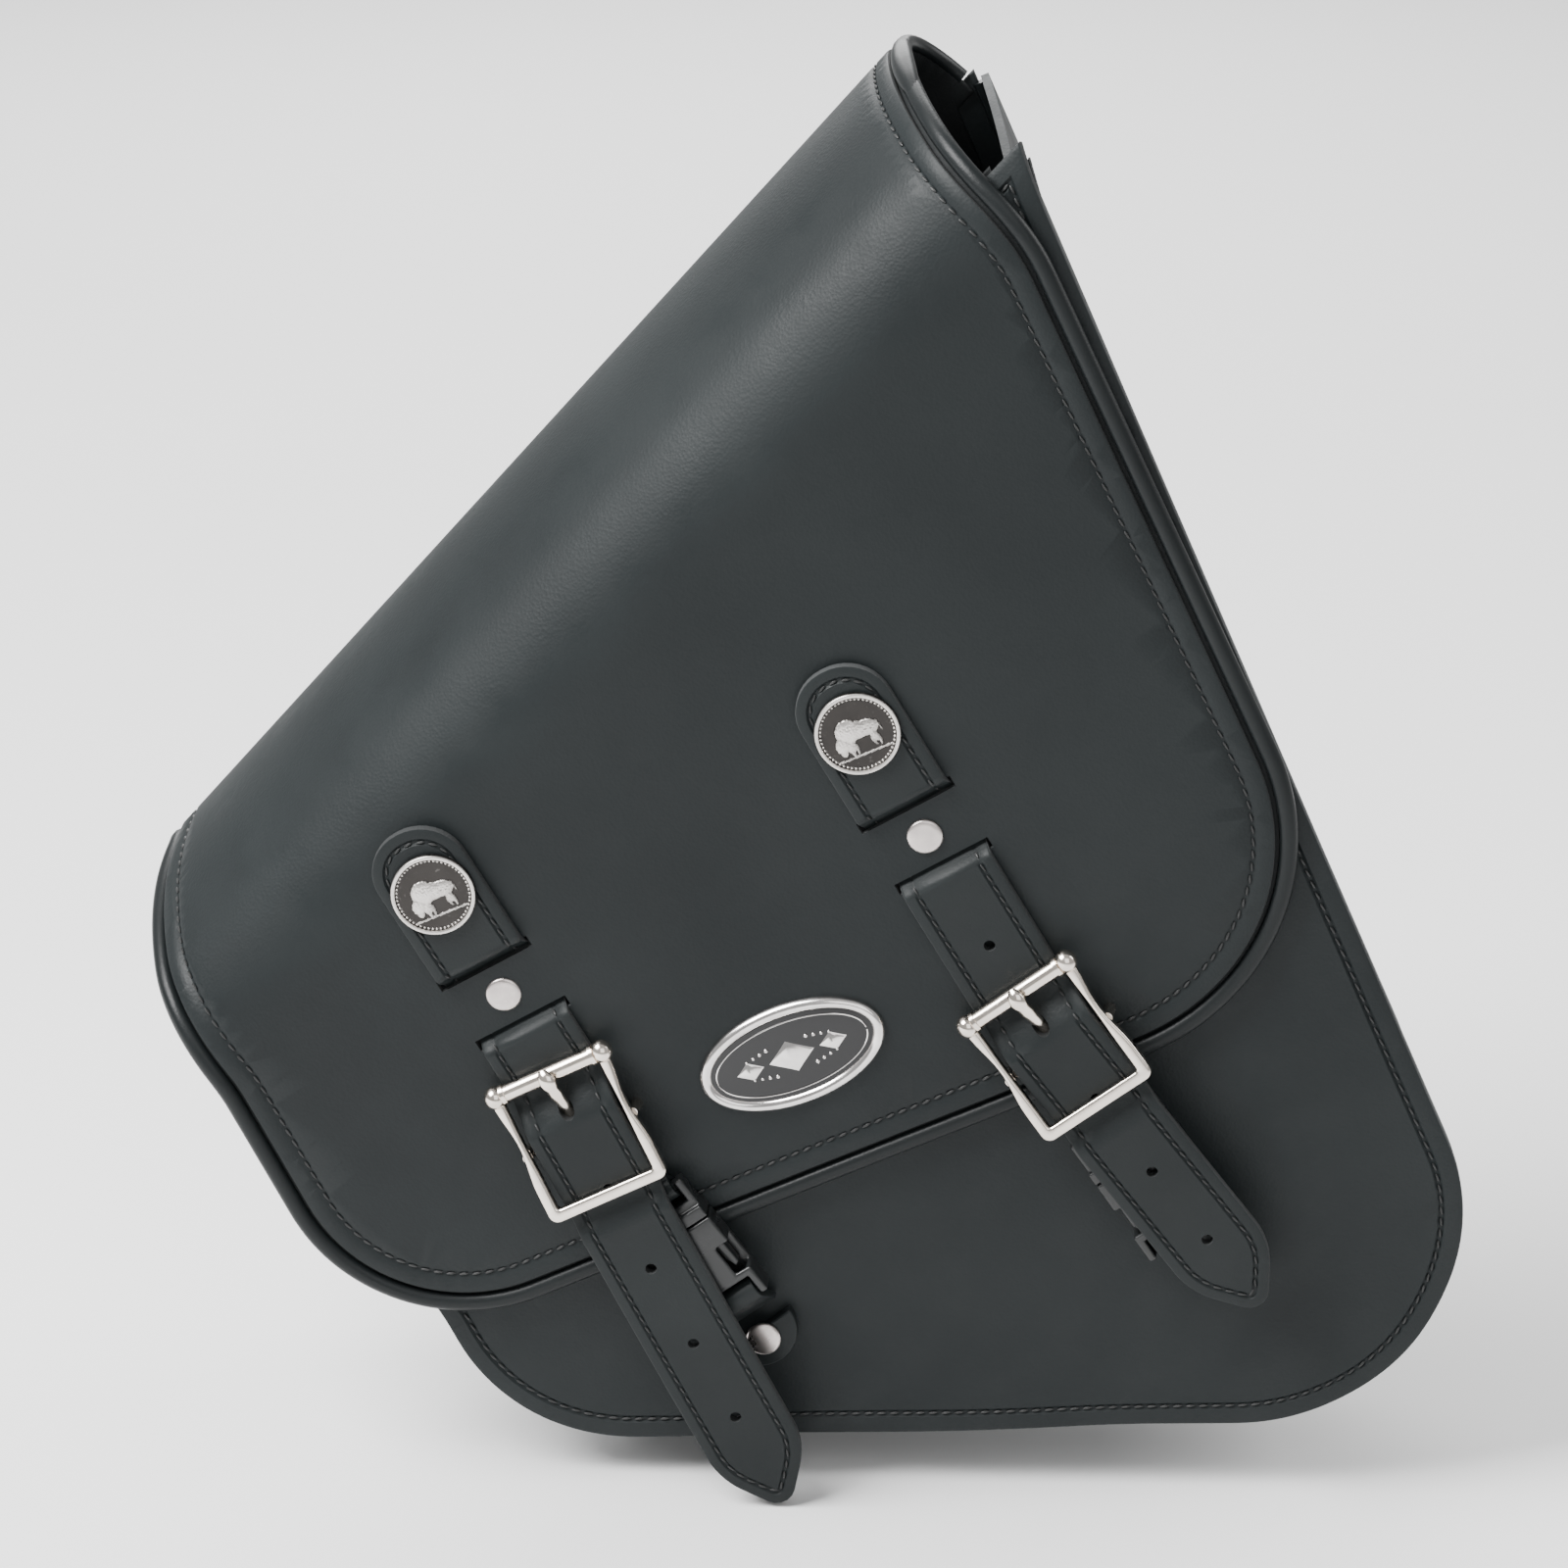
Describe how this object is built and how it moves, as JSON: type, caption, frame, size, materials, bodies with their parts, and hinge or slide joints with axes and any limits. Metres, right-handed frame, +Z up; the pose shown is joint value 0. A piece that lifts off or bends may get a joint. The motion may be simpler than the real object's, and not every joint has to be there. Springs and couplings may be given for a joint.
{
  "type": "motorcycle saddlebag",
  "caption": "Black leather swing-arm saddlebag with a slanted fold-over flap, buckled straps over hidden side-release clips, and a flat back with mounting eyelets.",
  "frame": {"origin": "centre of the four mounting eyelets on the back face", "axes": "+X to the bag's right, +Z up, +Y out of the back face towards the bracket; the flap faces -Y"},
  "size_m": [0.3455, 0.1016, 0.3776],
  "materials": {
    "body_leather": "smooth black, fine grain, semi-matt",
    "strap_leather": "black bridle leather with raw grey edges",
    "lining_leather": "black leather, matt inner side",
    "piping": "black covered piping",
    "board_plastic": "black board",
    "clip_plastic": "black moulded acetal",
    "buckle_nickel": "warm polished nickel",
    "rivet_nickel": "polished nickel",
    "aged_nickel": "aged nickel with dark recesses",
    "badge_chrome": "polished chrome",
    "enamel": "gloss black enamel",
    "eyelet_steel": "nickel plated steel"
  },
  "bodies": {
    "bag": {"back_panel": "body_leather", "back_board": "board_plastic", "back_piping": "piping", "hinge_strip": "body_leather", "mounting_eyelets": "eyelet_steel", "gusset": "body_leather", "front_panel": "body_leather", "front_stiffener": "board_plastic", "mouth_facing": "body_leather", "anchor_tab_left": "strap_leather", "anchor_rivet_left": "rivet_nickel", "anchor_tab_right": "strap_leather", "anchor_rivet_right": "rivet_nickel"},
    "flap": {"flap_base": "lining_leather", "flap_outer": "body_leather", "flap_piping": "piping", "badge_plate": "badge_chrome", "badge_inlay": "enamel", "badge_emblem": "badge_chrome", "strap_left": "strap_leather", "concho_left": "aged_nickel", "concho_screw_left": "eyelet_steel", "flap_rivet_left": "rivet_nickel", "buckle_frame_left": "buckle_nickel", "chape_left": "strap_leather", "clip_male_left": "clip_plastic", "strap_right": "strap_leather", "concho_right": "aged_nickel", "concho_screw_right": "eyelet_steel", "flap_rivet_right": "rivet_nickel", "buckle_frame_right": "buckle_nickel", "chape_right": "strap_leather", "clip_male_right": "clip_plastic"},
    "roller_left": {"buckle_roller_left": "buckle_nickel"},
    "tongue_left": {"buckle_tongue_left": "buckle_nickel"},
    "clip_left": {"clip_female_left": "clip_plastic", "clip_loop_left": "strap_leather"},
    "arm_upper_left": {"clip_arm_upper_left": "clip_plastic"},
    "arm_lower_left": {"clip_arm_lower_left": "clip_plastic"},
    "roller_right": {"buckle_roller_right": "buckle_nickel"},
    "tongue_right": {"buckle_tongue_right": "buckle_nickel"},
    "clip_right": {"clip_female_right": "clip_plastic", "clip_loop_right": "strap_leather"},
    "arm_upper_right": {"clip_arm_upper_right": "clip_plastic"},
    "arm_lower_right": {"clip_arm_lower_right": "clip_plastic"}
  },
  "joints": [
    {"name": "flap_hinge", "type": "hinge", "parent": "bag", "child": "flap", "pos_m": [-0.05569, 0, 0.08876], "axis": [-0.6587, 0, -0.7524], "range_deg": [0, 120]},
    {"name": "roller_spin_left", "type": "hinge", "parent": "flap", "child": "roller_left", "pos_m": [-0.06037, -0.09445, -0.03947], "axis": [0.8926, 0, 0.4509], "continuous": true},
    {"name": "tongue_pivot_left", "type": "hinge", "parent": "flap", "child": "tongue_left", "pos_m": [-0.05203, -0.0917, -0.05598], "axis": [0.8926, 0, 0.4509], "range_deg": [0, 5]},
    {"name": "clip_release_left", "type": "slide", "parent": "bag", "child": "clip_left", "axis": [0.6018, 0, -0.7986], "range_m": [0, 0.018], "deforming": ["clip_loop_left"]},
    {"name": "arm_squeeze_upper_left", "type": "hinge", "parent": "flap", "child": "arm_upper_left", "pos_m": [-0.02223, -0.0929, -0.08223], "axis": [0, 1, 0], "range_deg": [0, 7], "stiffness_Nm_per_rad": 0.1},
    {"name": "arm_squeeze_lower_left", "type": "hinge", "parent": "flap", "child": "arm_lower_left", "pos_m": [-0.03501, -0.0929, -0.09186], "axis": [0, -1, 0], "range_deg": [0, 7], "stiffness_Nm_per_rad": 0.1},
    {"name": "roller_spin_right", "type": "hinge", "parent": "flap", "child": "roller_right", "pos_m": [0.05951, -0.09445, -0.01395], "axis": [0.7955, 0, 0.606], "continuous": true},
    {"name": "tongue_pivot_right", "type": "hinge", "parent": "flap", "child": "tongue_right", "pos_m": [0.07072, -0.0917, -0.02866], "axis": [0.7955, 0, 0.606], "range_deg": [0, 5]},
    {"name": "clip_release_right", "type": "slide", "parent": "bag", "child": "clip_right", "axis": [0.5592, 0, -0.829], "range_m": [0, 0.018], "deforming": ["clip_loop_right"]},
    {"name": "arm_squeeze_upper_right", "type": "hinge", "parent": "flap", "child": "arm_upper_right", "pos_m": [0.0991, -0.0929, -0.05644], "axis": [0, 1, 0], "range_deg": [0, 7], "stiffness_Nm_per_rad": 0.1},
    {"name": "arm_squeeze_lower_right", "type": "hinge", "parent": "flap", "child": "arm_lower_right", "pos_m": [0.08584, -0.0929, -0.06539], "axis": [0, -1, 0], "range_deg": [0, 7], "stiffness_Nm_per_rad": 0.1}
  ],
  "couplings": [
    {"joint": "arm_squeeze_lower_left", "follows": "arm_squeeze_upper_left", "ratio": 1},
    {"joint": "arm_squeeze_lower_right", "follows": "arm_squeeze_upper_right", "ratio": 1}
  ]
}
